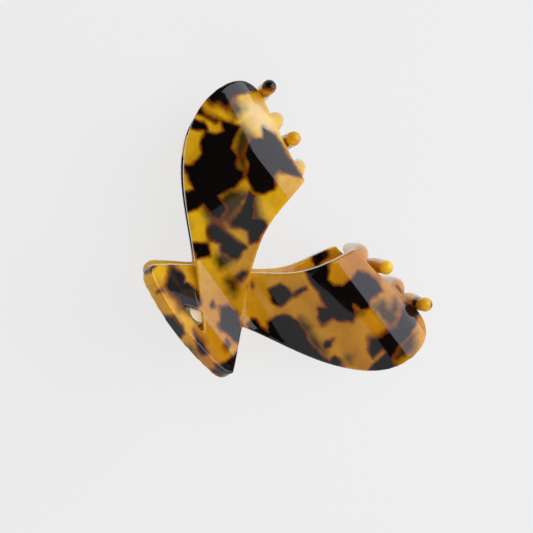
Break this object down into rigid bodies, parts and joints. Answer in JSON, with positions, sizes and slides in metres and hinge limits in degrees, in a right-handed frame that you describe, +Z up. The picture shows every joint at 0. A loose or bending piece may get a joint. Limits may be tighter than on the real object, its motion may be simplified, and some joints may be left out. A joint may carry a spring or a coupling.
{
  "type": "claw clip",
  "caption": "Tortoiseshell claw hair clip: two crossed-ribbon acetate halves with interlocking teeth on a sprung leaf hinge.",
  "frame": {"origin": "middle of the overall box on the ground below the back half", "axes": "+X along the hinge pin and the clip's length, +Y towards the teeth, +Z up from the back half to the front half"},
  "size_m": [0.085, 0.0586, 0.04],
  "materials": {
    "acetate": "polished tortoiseshell cellulose acetate, amber with near-black patches",
    "gilt_metal": "gold-plated stamped steel",
    "gilt_inlay": "pale gold, satin, with a ring of fine ticks",
    "steel": "bright spring wire and pin"
  },
  "bodies": {
    "root": {"back_shell": "acetate", "back_hinge_leaf": "gilt_metal", "back_leaf_rivets": "gilt_metal", "back_medallion": "gilt_inlay", "hinge_pin": "steel", "torsion_spring": "steel"},
    "front": {"front_shell": "acetate", "front_hinge_leaf": "gilt_metal", "front_leaf_rivets": "gilt_metal", "front_medallion": "gilt_inlay"}
  },
  "joints": [
    {"name": "jaw_hinge", "type": "hinge", "parent": "root", "child": "front", "pos_m": [0, -0.01427, 0.02], "axis": [1, 0, 0], "range_deg": [0, 55], "stiffness_Nm_per_rad": 0.15, "springref_deg": -45.84, "deforming": ["torsion_spring"]}
  ]
}
